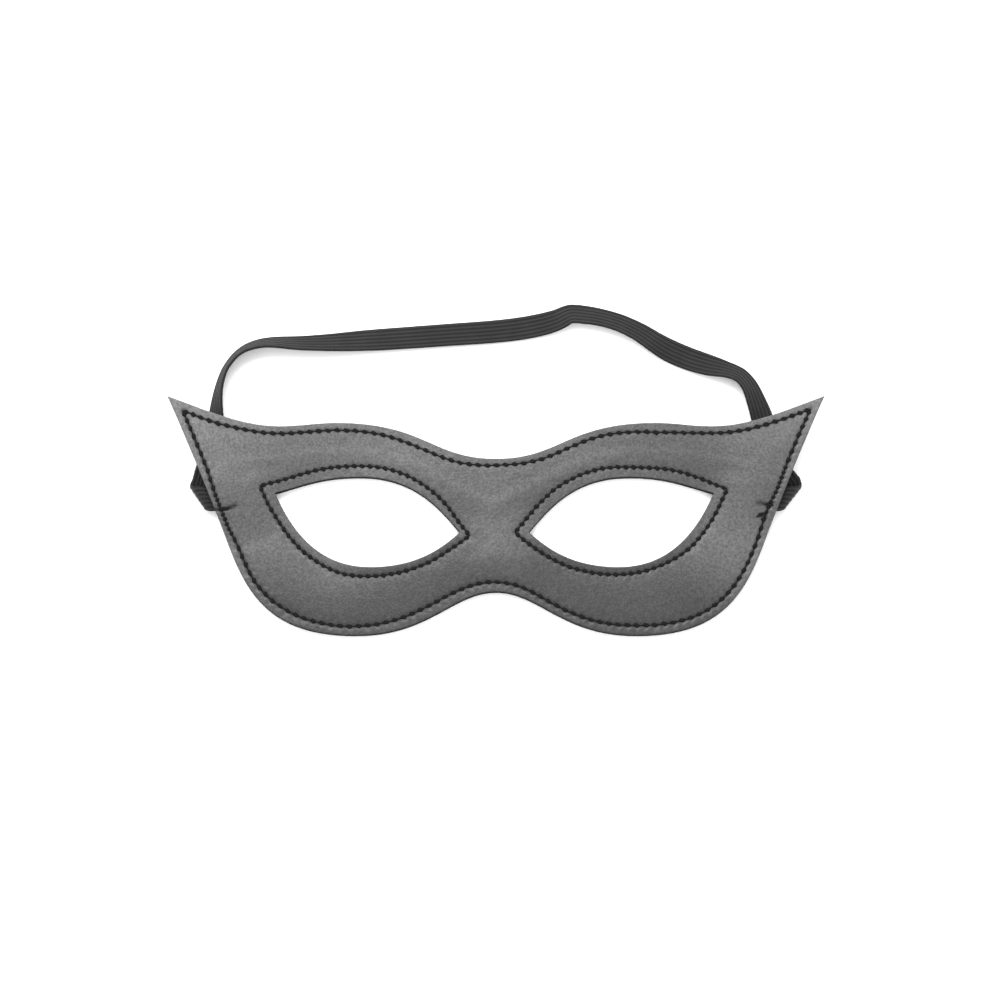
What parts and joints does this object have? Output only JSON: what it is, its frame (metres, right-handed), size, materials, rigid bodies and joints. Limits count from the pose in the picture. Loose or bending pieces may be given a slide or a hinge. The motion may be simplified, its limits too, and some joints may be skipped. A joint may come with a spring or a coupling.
{
  "type": "cat-eye mask with elastic strap",
  "caption": "Black faux leather cat-eye mask, stitched round, with open eye holes and a flat elastic head strap held between its plies, lying face up.",
  "frame": {"origin": "on the table, under the middle of the nose bridge, on the flat underside of the back panel", "axes": "+X to the right as the mask is seen lying face up, +Y towards the brow, +Z out of the mask's face"},
  "size_m": [0.2152, 0.112, 0.0113],
  "materials": {
    "faux_leather": "satin",
    "lining": "matte",
    "elastic": "matte"
  },
  "bodies": {
    "root": {"front_panel": "faux_leather", "back_panel": "lining", "elastic_strap": "elastic"}
  },
  "joints": []
}
